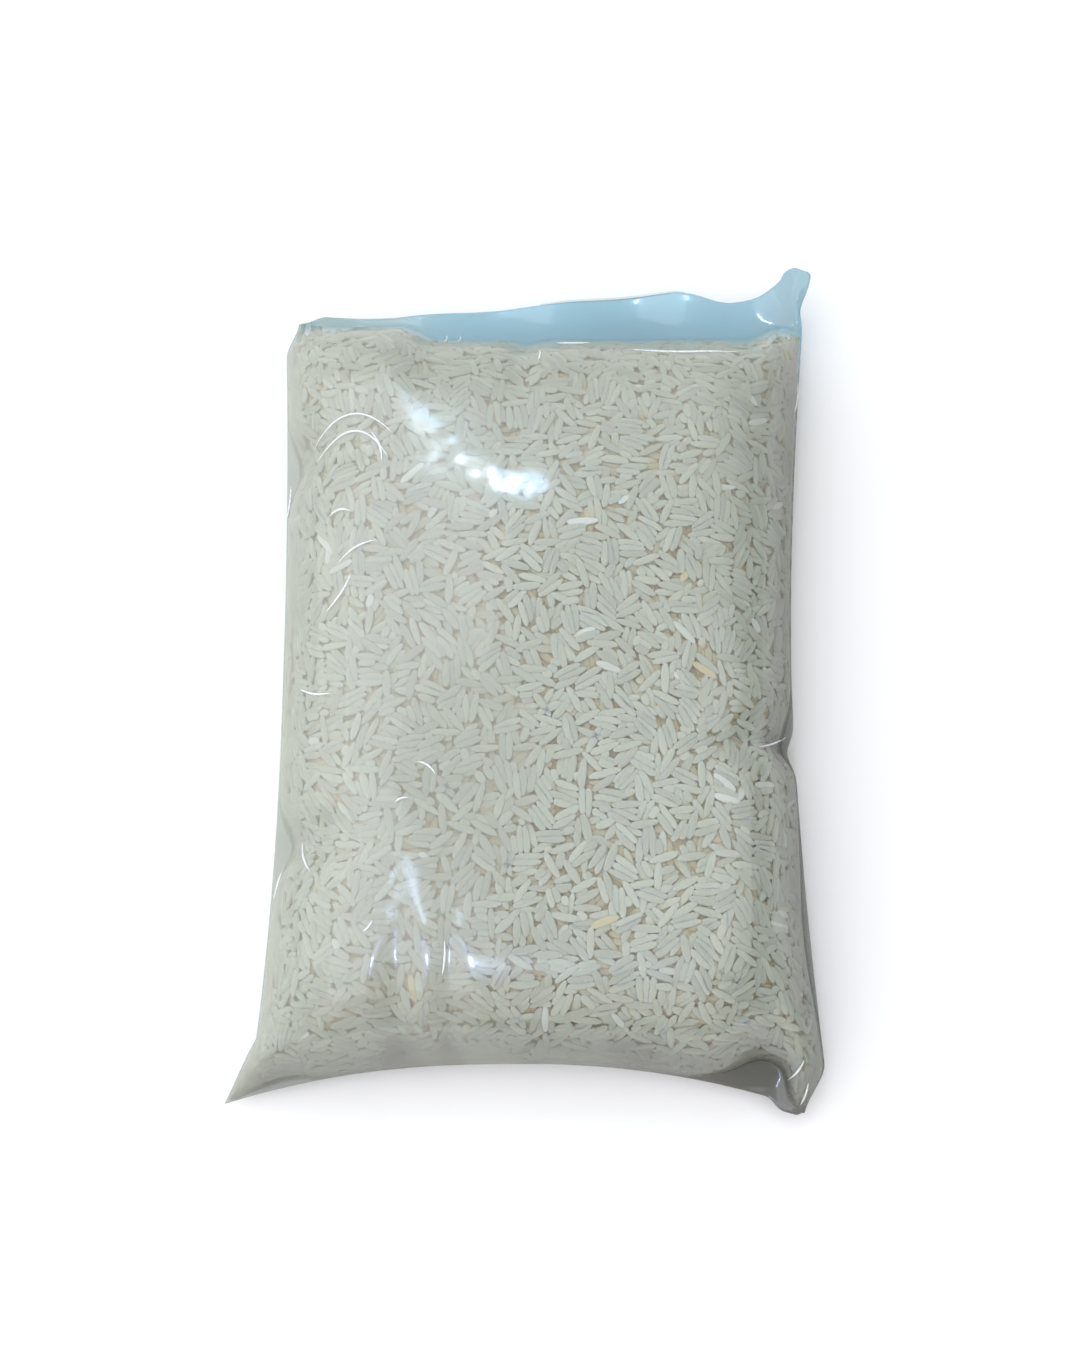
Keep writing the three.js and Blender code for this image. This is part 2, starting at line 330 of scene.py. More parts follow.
def layAlongSides(areaEach, seed, highest=1.0):
    # Grains between the two films along the side folds and the seal, where the wall stands upright,
    # up to a share of its height
    radius, half = grains["radius"], grains["sideStrip"]
    strip = (np.abs(planEdge - grains["sideInwards"]) < half) & (fillEdge > grains["headerRoom"])
    room = np.maximum(0, riceUpper - riceLower - 2 * radius) * strip * highest
    draw = np.random.default_rng(seed)
    count = int(room.sum() * riceGrid.step ** 2 / (2 * half) / areaEach)
    cell = draw.choice(room.size, count, p=(room / room.sum()).ravel())
    z = riceLower.ravel()[cell] + radius + draw.random(count) * room.ravel()[cell]
    centres = np.stack([riceGrid.x.ravel()[cell], riceGrid.y.ravel()[cell], z], 1)
    along = unit(np.stack([-planEdgeY.ravel()[cell], planEdgeX.ravel()[cell], np.zeros(count)], 1))
    turn = draw.normal(0, grains["sideTurn"], count)[:, None]
    return centres, np.cos(turn) * along + np.sin(turn) * np.array([[0.0, 0.0, 1.0]])


def nearPairs(centres, reach):
    # Pairs of grains whose middles are within reach, found through a grid of cells of that size
    cell = np.floor(centres / reach).astype(np.int64)
    cell -= cell.min(0) - 1
    size = cell.max(0) + 2
    key = (cell[:, 0] * size[1] + cell[:, 1]) * size[2] + cell[:, 2]
    order = np.argsort(key, kind="stable")
    sortedKey = key[order]
    firsts, seconds = [], []
    for dx in (-1, 0, 1):
        for dy in (-1, 0, 1):
            for dz in (-1, 0, 1):
                offset = (dx * size[1] + dy) * size[2] + dz
                if offset < 0:
                    continue
                begin = np.searchsorted(sortedKey, key + offset, "left")
                count = np.searchsorted(sortedKey, key + offset, "right") - begin
                first = np.repeat(np.arange(len(key)), count)
                steps = np.arange(count.sum()) - np.repeat(np.cumsum(count) - count, count)
                second = order[steps + np.repeat(begin, count)]
                kept = first < second if offset == 0 else first >= 0
                firsts.append(first[kept])
                seconds.append(second[kept])
    first, second = np.concatenate(firsts), np.concatenate(seconds)
    close = np.sum((centres[first] - centres[second]) ** 2, 1) < reach * reach
    return first[close], second[close]


def closestShares(startA, wayA, startB, wayB):
    # Where two straight pieces come closest, as shares of their lengths
    between = startA - startB
    a, e = np.sum(wayA * wayA, 1), np.sum(wayB * wayB, 1)
    b, c, f = np.sum(wayA * wayB, 1), np.sum(wayA * between, 1), np.sum(wayB * between, 1)
    spread = a * e - b * b
    s = np.where(spread > 0.02 * a * e, clamp01((b * f - c * e) / np.maximum(spread, 1e-9)), 0.5)
    t = clamp01((b * s + f) / e)
    s = clamp01((b * t - c) / a)
    return s, clamp01((b * s + f) / e)


def addUp(index, vectors, count):
    return np.stack([np.bincount(index, vectors[:, k], count) for k in range(3)], 1)


settling = {
    "pairsEvery": 6, "pairReach": 0.8,  # rounds between searches for near pairs, and their extra reach
    "calm": 1.7, "crowd": 0.75,  # how much of a push is followed, and how much less with many neighbours
    "shake": 0.25, "shakeUntil": 0.6, "shakeShare": 0.4,  # random moves, up to this share of the rounds
    "largestMove": 0.6,
}


def settleGrains(ends, half, upper, shallow, deep):
    # Overlapping grains push each other apart, and the film and their layer hold them in
    count = len(half)
    radius, largest = grains["radius"], settling["largestMove"]
    for turn in range(grains["rounds"]):
        if turn % settling["pairsEvery"] == 0:
            centres = (ends[0] + ends[1]) / 2
            first, second = nearPairs(centres, 2 * half.max() + 2 * radius + settling["pairReach"])
        wayA, wayB = ends[1][first] - ends[0][first], ends[1][second] - ends[0][second]
        s, t = closestShares(ends[0][first], wayA, ends[0][second], wayB)
        apart = ends[0][first] + wayA * s[:, None] - ends[0][second] - wayB * t[:, None]
        distance = np.linalg.norm(apart, axis=1)
        touching = distance < 2 * radius
        f, g, s, t = first[touching], second[touching], s[touching], t[touching]
        distance = np.maximum(distance[touching], 0.05)
        push = apart[touching] / distance[:, None] * ((2 * radius - distance) * 0.5)[:, None]
        moves = []
        for end in (0, 1):
            shareF, shareG = (s, t) if end else (1 - s, 1 - t)
            weightF = shareF / ((1 - s) ** 2 + s ** 2)
            weightG = shareG / ((1 - t) ** 2 + t ** 2)
            moves.append(addUp(f, push * weightF[:, None], count) - addUp(g, push * weightG[:, None], count))
        touches = np.maximum(1, np.bincount(f, None, count) + np.bincount(g, None, count))
        calm = (settling["calm"] / touches ** settling["crowd"])[:, None]
        shake = settling["shake"] * max(0.0, 1 - turn / (settling["shakeUntil"] * grains["rounds"]))
        for end in (0, 1):
            ends[end] = ends[end] + np.clip(moves[end] * calm, -largest, largest)
            ends[end] += randomDraw.normal(0, shake, ends[end].shape) * settling["shakeShare"]
            for isUpper in (True, False):
                depth, n = wallDepth(ends[end], isUpper)
                own = upper == isUpper
                inwards = np.where(own, np.maximum(0, shallow - depth), np.maximum(0, radius - depth))
                outwards = np.where(own, np.maximum(0, depth - deep), 0)
                ends[end] = ends[end] - n * (inwards - outwards * 0.5)[:, None]
            edge = riceGrid.read(planEdge, ends[end][:, 0], ends[end][:, 1])
            back = np.maximum(0, grains["edgeRoom"] - edge)
            ends[end][:, 0] += back * riceGrid.read(planEdgeX, ends[end][:, 0], ends[end][:, 1])
            ends[end][:, 1] += back * riceGrid.read(planEdgeY, ends[end][:, 0], ends[end][:, 1])
        centres = (ends[0] + ends[1]) / 2
        way = unit(ends[1] - ends[0]) * half[:, None]
        ends = [centres - way, centres + way]
    overlap = np.maximum(0, 2 * radius - distance)
    report(f"{count} grains settled; mean overlap of touching grains {overlap.mean():.2f} mm")
    return ends


def packRice():
    radius, behind, bands = grains["radius"], grains["radius"] + grains["behindBy"], grains["band"]
    layers = [
        layGrains(True, grains["upperArea"], radius, 1),
        layGrains(True, grains["behindArea"], behind + 0.4, 2),
        layGrains(False, grains["underArea"], radius, 3),
        layAlongSides(grains["sideArea"], 41),
    ]
    lowSide = layAlongSides(grains["sideArea"], 43, grains["lowSideShare"])  # under the folds
    layers[2] = [np.concatenate(parts) for parts in zip(layers[2], lowSide)]
    limits = [(radius, radius + bands["upper"]), (behind, behind + bands["behind"]),
              (radius, radius + bands["under"]), (radius, radius + bands["side"])]
    centres = np.concatenate([c for c, _ in layers])
    ways = np.concatenate([w for _, w in layers])
    layer = np.concatenate([np.full(len(c), i) for i, (c, _) in enumerate(layers)])
    shallow = np.array([low for low, _ in limits])[layer]
    deep = np.array([high for _, high in limits])[layer]
    length = randomDraw.normal(grains["length"], grains["lengthSpread"], len(layer))
    kind = np.where(randomDraw.random(len(layer)) < grains["brokenShare"], 1, 0)
    brokenLength = grains["length"] * randomDraw.uniform(*grains["brokenLength"], len(layer))
    length = np.where(kind == 1, brokenLength, length)
    half = np.maximum(length / 2 - radius * 1.3, 0.3)  # of the rod that stands for a grain with its tips
    ends = [centres - ways * half[:, None], centres + ways * half[:, None]]
    ends = settleGrains(ends, half, layer != 2, shallow, deep)
    return ends, length, layer, kind


ends, grainLength, grainLayer, grainKind = packRice()
report("rice packed")


# Meshes from arrays
def makeMesh(name, points, quads, triangles, values=None, leaning=None):
    mesh = bpy.data.meshes.new(name)
    mesh.vertices.add(len(points))
    mesh.vertices.foreach_set("co", toScene(points).ravel())
    corners = np.concatenate([np.ravel(quads), np.ravel(triangles)]).astype(np.int32)
    mesh.loops.add(len(corners))
    mesh.loops.foreach_set("vertex_index", corners)
    starts = np.concatenate([np.arange(len(quads)) * 4, len(quads) * 4 + np.arange(len(triangles)) * 3])
    mesh.polygons.add(len(starts))
    mesh.polygons.foreach_set("loop_start", starts.astype(np.int32))
    mesh.update(calc_edges=True)
    mesh.validate()
    mesh.shade_smooth()
    for label, value in (values or {}).items():
        attribute = mesh.attributes.new(label, "FLOAT", "POINT")
        attribute.data.foreach_set("value", np.asarray(value, np.float32))
    if leaning is not None:  # light that passes through a grain softens its shading towards these normals
        own = np.empty(len(points) * 3)
        mesh.vertex_normals.foreach_get("vector", own)
        softened = mix(own.reshape(-1, 3), leaning, grains["softShading"])
        mesh.normals_split_custom_set_from_vertices(unit(softened))
    piece = bpy.data.objects.new(name, mesh)
    bpy.context.scene.collection.objects.link(piece)
    return piece


def grainTemplate(sides, stations, bluntness):
    # One grain along X from -1 to 1 with a girth of 1: its points, and its quads and triangles
    spread = np.sin(np.linspace(-0.5, 0.5, stations + 2)[1:-1] * math.pi)
    girth = (1 - np.abs(spread) ** bluntness) ** 0.5
    turn = np.arange(sides) * 2 * math.pi / sides
    points = [(-1.0, 0.0, 0.0)]
    for along, wide in zip(spread, girth):
        points += [(along, wide * math.cos(a), wide * math.sin(a)) for a in turn]
    points.append((1.0, 0.0, 0.0))
    last = len(points) - 1
    quads, triangles = [], []
    for ring in range(stations - 1):
        for i in range(sides):
            j = (i + 1) % sides
            low, high = 1 + ring * sides, 1 + (ring + 1) * sides
            quads.append((low + i, high + i, high + j, low + j))
    for i in range(sides):
        j = (i + 1) % sides
        triangles.append((0, 1 + i, 1 + j))
        triangles.append((last, last - sides + j, last - sides + i))
    return np.array(points), np.array(quads)[:, ::-1], np.array(triangles)[:, ::-1]


def grainPiece(name, chosen, sides, stations, bluntness):
    template, quads, triangles = grainTemplate(sides, stations, bluntness)
    start, end, length = ends[0][chosen], ends[1][chosen], grainLength[chosen]
    count = len(start)
    middle, way = (start + end) / 2, unit(end - start)
    isUpper = grainLayer[chosen] != 2
    normal = np.where(isUpper[:, None], wallNormal(middle[:, 0], middle[:, 1], True),
                      wallNormal(middle[:, 0], middle[:, 1], False))
    side = unit(np.cross(normal, way))
    top = np.cross(way, side)
    draw = np.random.default_rng(len(name) * 31 + count)
    roll = draw.normal(0, grains["roll"], count)[:, None]
    side, top = side * np.cos(roll) + top * np.sin(roll), top * np.cos(roll) - side * np.sin(roll)
    width = grains["width"] * draw.normal(1, grains["sizeSpread"], count)
    thickness = grains["thickness"] * draw.normal(1, grains["sizeSpread"], count)
    bend = draw.normal(0, grains["bend"], count)
    taper = draw.normal(0, grains["taper"], count)
    x, y, z = template.T
    girth = 1 + taper[:, None] * x[None, :]
    points = (middle[:, None, :] + way[:, None, :] * (x[None, :] * length[:, None] / 2)[:, :, None]
              + side[:, None, :] * (y * girth * width[:, None] / 2 + bend[:, None] * (1 - x * x))[:, :, None]
              + top[:, None, :] * (z * girth * thickness[:, None] / 2)[:, :, None])
    base = (np.arange(count) * len(template))[:, None, None]
    quads = (quads[None] + base).reshape(-1, 4)
    triangles = (triangles[None] + base).reshape(-1, 3)
    points = keepInside(points.reshape(-1, 3))
    deepUpper, normalUpper = wallDepth(points, True)
    deepUnder, _ = wallDepth(points, False)
    onTop = np.repeat(isUpper, len(template))
    values = {
        "grainTone": np.repeat(draw.random(count), len(template)),
        # painted shade: each point's share of the warm gap colour, from its depth under the film
        "gapShadeShare": ease(np.where(onTop, deepUpper, deepUnder), *grains["shade"]),
    }
    return makeMesh(name, points, quads, triangles, values, np.where(onTop[:, None], normalUpper, 0))


# The rice behind the grains that show: one body a few millimetres inside the film
heap = {
    "step": 1.8, "above": 2.6, "below": 1.9,  # steps of its mesh, and how far it is from each film
    "steepest": 8, "thinnest": 3,  # slope up to which that counts along the film, and its least thickness
}


def offsetCore():
    step, above, below = heap["step"], heap["above"], heap["below"]
    grid = Raster(step)
    upper, lower, full = filmHeights(grid.x, grid.y)
    slopeY, slopeX = np.gradient(upper, step)
    upper = upper - above * np.minimum(heap["steepest"], np.hypot(np.hypot(slopeX, slopeY), 1))
    slopeY, slopeX = np.gradient(lower, step)
    lower = lower + below * np.minimum(heap["steepest"], np.hypot(np.hypot(slopeX, slopeY), 1))
    middle = (upper + lower) / 2
    inside = upper - lower > heap["thinnest"]
    upper, lower = np.where(inside, upper, middle), np.where(inside, lower, middle)
    rows, columns = grid.x.shape
    number = np.arange(rows * columns).reshape(rows, columns)
    used = inside[:-1, :-1] | inside[1:, :-1] | inside[:-1, 1:] | inside[1:, 1:]
    corner = [number[:-1, :-1][used], number[:-1, 1:][used], number[1:, 1:][used], number[1:, :-1][used]]
    quads = np.stack(corner, 1)
    quads = np.concatenate([quads, quads[:, ::-1] + rows * columns])
    points = np.concatenate([np.stack([grid.x.ravel(), grid.y.ravel(), z.ravel()], 1)
                             for z in (upper, lower)])
    kept, renumbered = np.unique(quads, return_inverse=True)
    return keepInside(points[kept]), renumbered.reshape(-1, 4)


# The film
film = {
    "across": 205, "along": 300, "crowding": 0.45,  # steps of its mesh, closer together at the edges
    "rasterStep": 0.4, "imprintDepth": 0.1, "standOff": 0.3,
    "imprintBlur": 4.5,  # raster steps over which the film bridges from grain to grain
}


def spreadMax(field, cells):  # each place takes the highest value within some cells of it
    for axis in (0, 1):
        field = np.max([np.roll(field, shift, axis) for shift in range(-cells, cells + 1)], axis=0)
    return field


def blur(field, cells):
    weights = np.exp(-(np.arange(-2.5 * cells, 2.5 * cells + 1) / cells) ** 2 / 2)
    reach = len(weights) // 2
    for axis in (0, 1):
        field = sum(w * np.roll(field, i - reach, axis) for i, w in enumerate(weights / weights.sum()))
    return field


def grainTops(grid, smooth):
    # The height that the upper layer's grains reach, or the smooth film where none is near
    chosen = grainLayer == 0
    start, end = ends[0][chosen], ends[1][chosen]
    tops = smooth - film["imprintDepth"] * 2
    for share in np.linspace(-0.1, 1.1, 13):
        place = start + (end - start) * share
        fall = 0.25 * max(0, abs(share - 0.5) - 0.4) / 0.2
        i = np.rint((place[:, 0] - grid.low[0]) / grid.step).astype(int)
        j = np.rint((place[:, 1] - grid.low[1]) / grid.step).astype(int)
        np.maximum.at(tops, (j, i), place[:, 2] + grains["thickness"] / 2 - fall)
    return tops


filmGrid = Raster(film["rasterStep"])
smoothUpper, smoothLower, filmFull = filmHeights(filmGrid.x, filmGrid.y)
pressed = blur(spreadMax(grainTops(filmGrid, smoothUpper), 2), film["imprintBlur"])
pressed = np.clip(pressed, smoothUpper - film["imprintDepth"], smoothUpper)
filmUpper = mix(smoothUpper, pressed, ease(filmFull, 0.25, 0.6)) + film["standOff"] * ease(filmFull, 0, 0.2)


def crowdedShares(steps):
    even = np.linspace(0, 1, steps + 1)
    return mix(even, (1 - np.cos(math.pi * even)) / 2, film["crowding"])


wear = {
    "leftVeil": (0, 16), "veilWave": (6, 17),  # mm left of the middle, and how its border waves
    "topVeil": (15, 75), "topShare": 0.75,  # up the bag, and how strong against the left one
    "headerClear": (100, 106), "headerShare": 0.7,  # how much of the veils ends at the header
    "leftEdge": (1.2, 9), "sealEdge": (1.3, 6), "sealHump": (8, 32),  # haze at the edges and how far in
    "leftEdgeUpTo": (-108, -100),
    "emptyUpTo": 0.12,  # share of fill up to which the films lie on each other
    "darkCorner": (55, 26), "darkFrom": (98, 108),  # the gathered fin at the bottom right, tinted dark as painted shade
    "earGather": 0.15, "earFrom": (60, 76), "earUpFrom": (102, 112),
    "rimShade": (0.4, 10), "rimUpTo": (-100, -80),  # painted shade along the right and bottom edges
    "foldShade": 0.07, "foldUpTo": (-98, -90), "foldFull": 0.6,  # painted shade in folds less full than this share
    "mostGatherShade": 0.6,
    "header": (80, 104), "headerLeft": 0.45, "headerFrom": (-52, -25),  # where the header's tint sets in
}


def filmWear(x, y, distances, full):
    # How loose, doubled and header-like the film is from place to place, and how dark its tint is for
    # gathered film and painted shade
    left, right, bottom, _ = distances
    swing, wave = wear["veilWave"]
    veil = np.maximum(ease(-x - swing * np.sin(y / wave), *wear["leftVeil"]),
                      wear["topShare"] * ease(y, *wear["topVeil"]))
    loose = veil * (1 - wear["headerShare"] * ease(y, *wear["headerClear"]))
    strong, reach = wear["leftEdge"]
    loose += strong * (1 - clamp01(left / reach)) * ease(-y, *wear["leftEdgeUpTo"])
    strong, reach = wear["sealEdge"]
    loose += strong * (1 - clamp01(bottom / reach)) * hump(x, *wear["sealHump"])
    empty = 1 - ease(full, 0.0, wear["emptyUpTo"])
    # painted shade: the fin at the bottom right is tinted dark
    dark = hump(x, *wear["darkCorner"]) * ease(-y, *wear["darkFrom"])
    gathersAndShade = wear["earGather"] * ease(x, *wear["earFrom"]) * ease(y, *wear["earUpFrom"])
    # painted shade: darker film towards the right and bottom edges and in the folds near the bottom
    strong, reach = wear["rimShade"]
    rim = strong * (1 - clamp01(np.minimum(right, bottom) / reach)) * ease(-y, *wear["rimUpTo"])
    fold = wear["foldShade"] * foldDepth(x, y, distances) * ease(-y, *wear["foldUpTo"])
    gathersAndShade = np.minimum(wear["mostGatherShade"], np.maximum(gathersAndShade, rim) + fold * (full < wear["foldFull"]))
    header = ease(y, *wear["header"]) * mix(wear["headerLeft"], 1, ease(x, *wear["headerFrom"]))
    return {"doubledFilm": empty, "looseFilm": loose, "headerFilm": header,
            "gatheredFilmShade": np.maximum(empty * dark, gathersAndShade)}


def filmSheet(name, across, along, upper):
    u, v = np.meshgrid(crowdedShares(across), crowdedShares(along))
    x, y = planPlaces(u, v)
    field = filmUpper if upper else smoothLower
    z = filmGrid.read(field, x, y)
    onEdge = (u == 0) | (u == 1) | (v == 0) | (v == 1)
    place, distances = edgeDistances(x, y)
    z = np.where(onEdge, rimHeight(x, y, place), z)
    number = np.arange(x.size).reshape(x.shape)
    corners = [number[:-1, :-1], number[:-1, 1:], number[1:, 1:], number[1:, :-1]]
    quads = np.stack([corner.ravel() for corner in corners], 1)
    values = filmWear(x, y, distances, filmGrid.read(filmFull, x, y))
    points = np.stack([x.ravel(), y.ravel(), z.ravel()], 1)
    return makeMesh(name, points, quads if upper else quads[:, ::-1], np.zeros((0, 3), int),
                    {label: value.ravel() for label, value in values.items()})


def tubeAround(line, radius, sides=8):
    # Points and quads of a thin tube along a line of points
    turn = np.arange(sides) * 2 * math.pi / sides
    way = unit(np.gradient(line, axis=0))
    aside = unit(np.cross(way, [0.0, 0.0, 1.0]))
    above = np.cross(aside, way)
    girdle = aside[:, None] * np.cos(turn)[:, None] + above[:, None] * np.sin(turn)[:, None]
    ring = radius[:, None, None] * girdle
    number = np.arange(len(line) * sides).reshape(len(line), sides)
    near, far = number[:-1], number[1:]
    quads = np.stack([near, np.roll(near, -1, 1), np.roll(far, -1, 1), far], 2).reshape(-1, 4)
    return (line[:, None] + ring).reshape(-1, 3), quads


# The header's cut edge, curled over where it is drawn tight
hem = {"from": -0.05, "to": 0.52, "radius": 0.45, "above": 0.35, "steps": 90}


def hemPiece(name):
    share = np.linspace(0, 1, hem["steps"])
    across = mix(hem["from"], hem["to"], share)
    x, y = planPlaces((across + 1) / 2, 1.0)
    line = np.stack([x, y, rimHeight(x, y, across) + hem["above"]], 1)
    points, quads = tubeAround(line, hem["radius"] * np.sin(math.pi * share) ** 0.4)
    return makeMesh(name, points, quads, np.zeros((0, 3), int), {"headerFilm": np.ones(len(points))})


# Creases, where the slack film stands up in a thin fold and shows painted glints: x, y, way in degrees from
# X, half length, bend
creases = {
    "radius": 0.32, "steps": 40,
    "lines": [
        (-53, 70, 0, 12, -7.0), (-52, 65, -8, 11, -8.0), (-45, 60, -70, 5, -1.0), (-56, 41.5, 8, 3.5, -1.5),
        (-51, 30, 28, 6, -1.2), (-55, 17, 55, 6, 0.8), (-62, -10.5, -18, 5, 1.0), (-30, -32, -35, 3, -0.8),
        (-37, -41, 20, 2, -0.5), (-64, -55, -70, 5, 0.8), (-25, -83, 86, 4.5, 0.4), (-45, -75, 50, 2, 0.3),
        (0, 92, 86, 3, 0.3), (42, 93, -2, 16, 1.2), (10, 100, 2, 5, 0.3), (-28, 103.5, 84, 2.5, 0.2),
        (-24, 103.5, 84, 2.5, 0.2), (65, -22, 35, 6, 0.6), (70, -111, 55, 3, 0.5), (72.5, -117, 75, 3, 0.3),
        (76, 84, 80, 6, 0.4), (-73, 52, 85, 5, 0.3), (-72, -60, 78, 5, 0.4),
    ],
}


def creasePiece(name):
    share = np.linspace(-1, 1, creases["steps"])
    radius = creases["radius"] * (1 - share ** 2) ** 0.7
    allPoints, allQuads, count = [], [], 0
    for atX, atY, way, reach, bend in creases["lines"]:
        turn = math.radians(way)
        along, aside = share * reach, bend * share ** 2
        x = atX + along * math.cos(turn) - aside * math.sin(turn)
        y = atY + along * math.sin(turn) + aside * math.cos(turn)
        points, quads = tubeAround(np.stack([x, y, filmGrid.read(filmUpper, x, y)], 1), radius)
        allPoints.append(points)
        allQuads.append(quads + count)
        count += len(points)
    return makeMesh(name, np.concatenate(allPoints), np.concatenate(allQuads), np.zeros((0, 3), int))


# Materials
def linear(hexColour):
    channels = [int(hexColour[i:i + 2], 16) / 255 for i in (1, 3, 5)]
    return [c / 12.92 if c <= 0.04045 else ((c + 0.055) / 1.055) ** 2.4 for c in channels] + [1.0]


def addNode(tree, kind, settings, links):
    # One node with its settings, by property or input name, and what feeds its inputs
    node = tree.nodes.new(kind)
    for key, value in settings.items():
        if isinstance(key, str) and hasattr(node, key):
            setattr(node, key, value)
        else:
            node.inputs[key].default_value = value
    for key, source in links.items():
        tree.links.new(source, node.inputs[key])
    return node


def mixColour(tree, share, first, second):
    # One colour passing into another: each is a hex value or another node's output
    node = addNode(tree, "ShaderNodeMix", {"data_type": "RGBA"}, {"Factor": share})
    for place, colour in ((6, first), (7, second)):
        if isinstance(colour, str):
            node.inputs[place].default_value = linear(colour)
        else:
            tree.links.new(colour, node.inputs[place])
    return node


def newMaterial(name):
    material = bpy.data.materials.new(name)
    material.use_nodes = True
    material.node_tree.nodes.clear()
    return material, material.node_tree


riceLooks = {
    "grey": "#a8ada1", "cream": "#b0b6a9", "light": "#b8beb1",  # the run of colours from grain to grain
    "deep": "#b4a681",  # painted shade: warmer colour of grain sides deep in the gaps, where light reaches a grain only through its neighbours
    "roughness": 0.5, "subsurface": 0.85, "scatterLength": 0.0016,
}


def riceMaterial(name, darkest, middle, lightest, subsurface):
    # Milled rice: a waxy, faintly see-through starch, polished by the mill
    material, tree = newMaterial(name)
    tone = addNode(tree, "ShaderNodeAttribute", {"attribute_name": "grainTone"}, {})
    ramp = addNode(tree, "ShaderNodeValToRGB", {}, {"Fac": tone.outputs["Fac"]})
    stops = ramp.color_ramp.elements
    stops[0].color, stops[1].color = linear(darkest), linear(lightest)
    stops.new(0.5).color = linear(middle)
    # painted shade: grains turn warmer the deeper they lie under the film
    depth = addNode(tree, "ShaderNodeAttribute", {"attribute_name": "gapShadeShare"}, {})
    colour = mixColour(tree, depth.outputs["Fac"], ramp.outputs["Color"], riceLooks["deep"])
    shader = addNode(tree, "ShaderNodeBsdfPrincipled", {
        "Roughness": riceLooks["roughness"], "IOR": 1.5,
        "Subsurface Weight": subsurface, "Subsurface Scale": riceLooks["scatterLength"],
    }, {"Base Color": colour.outputs[2]})
    shader.inputs["Subsurface Radius"].default_value = (1.0, 0.8, 0.55)
    addNode(tree, "ShaderNodeOutputMaterial", {}, {"Surface": shader.outputs["BSDF"]})
    return material


filmLooks = {
    "taut": "#fbfcfb", "empty": "#cdd6d4", "header": "#c3e5f3", "gatherShade": "#72686a",  # tints; the darkest is painted shade for gathered film, folds and edges
    "milk": "#c4c8bb", "haze": 0.14, "looseHaze": 0.17, "doubledHaze": 0.02,
    "sharp": 0.08, "soft": 0.22, "softShare": 0.35,  # the roughness of its two kinds of gloss
    "mirror": 0.075, "grazing": 0.35,  # share that it reflects head on, and how much more at a flat angle
}


def filmMaterial():
    # Clear polythene film: two thin glossy faces, a cool tint, a dark tint of painted shade at gathered
    # film, folds and edges, and a little haze where it is loose or doubled
    material, tree = newMaterial("clearFilm")
    loose = addNode(tree, "ShaderNodeAttribute", {"attribute_name": "looseFilm"}, {})
    doubled = addNode(tree, "ShaderNodeAttribute", {"attribute_name": "doubledFilm"}, {})
    header = addNode(tree, "ShaderNodeAttribute", {"attribute_name": "headerFilm"}, {})
    gatherShade = addNode(tree, "ShaderNodeAttribute", {"attribute_name": "gatheredFilmShade"}, {})
    emptyTint = mixColour(tree, header.outputs["Fac"], filmLooks["empty"], filmLooks["header"])
    clearTint = mixColour(tree, doubled.outputs["Fac"], filmLooks["taut"], emptyTint.outputs[2])
    # painted shade: the tint turns dark where gathered film and shade are marked
    tint = mixColour(tree, gatherShade.outputs["Fac"], clearTint.outputs[2], filmLooks["gatherShade"])
    through = addNode(tree, "ShaderNodeBsdfTransparent", {}, {"Color": tint.outputs[2]})
    milk = addNode(tree, "ShaderNodeBsdfDiffuse", {"Color": linear(filmLooks["milk"])}, {})
    hazeAmount = addNode(tree, "ShaderNodeMath", {
        "operation": "MULTIPLY_ADD", 1: filmLooks["looseHaze"], 2: filmLooks["haze"],
    }, {0: loose.outputs["Fac"]})
    hazeDoubled = addNode(tree, "ShaderNodeMath", {"operation": "MULTIPLY_ADD", 1: filmLooks["doubledHaze"]},
                          {0: doubled.outputs["Fac"], 2: hazeAmount.outputs[0]})
    body = addNode(tree, "ShaderNodeMixShader", {},
                   {"Fac": hazeDoubled.outputs[0], 1: through.outputs[0], 2: milk.outputs[0]})
    sharp = addNode(tree, "ShaderNodeBsdfGlossy", {"Roughness": filmLooks["sharp"]}, {})
    soft = addNode(tree, "ShaderNodeBsdfGlossy", {"Roughness": filmLooks["soft"]}, {})
    gloss = addNode(tree, "ShaderNodeMixShader", {"Fac": filmLooks["softShare"]},
                    {1: sharp.outputs[0], 2: soft.outputs[0]})
    # A sheet reflects alike from both sides: about 4% at each of its two faces head on, and more the
    # flatter it is seen
    facing = addNode(tree, "ShaderNodeLayerWeight", {"Blend": 0.5}, {})
    grazing = addNode(tree, "ShaderNodeMath", {"operation": "POWER", 1: 5.0}, {0: facing.outputs["Facing"]})
    mirror = addNode(tree, "ShaderNodeMath", {
        "operation": "MULTIPLY_ADD", 1: filmLooks["grazing"], 2: filmLooks["mirror"],
    }, {0: grazing.outputs[0]})
    whole = addNode(tree, "ShaderNodeMixShader", {},
                    {"Fac": mirror.outputs[0], 1: body.outputs[0], 2: gloss.outputs[0]})
    addNode(tree, "ShaderNodeOutputMaterial", {}, {"Surface": whole.outputs[0]})
    return material


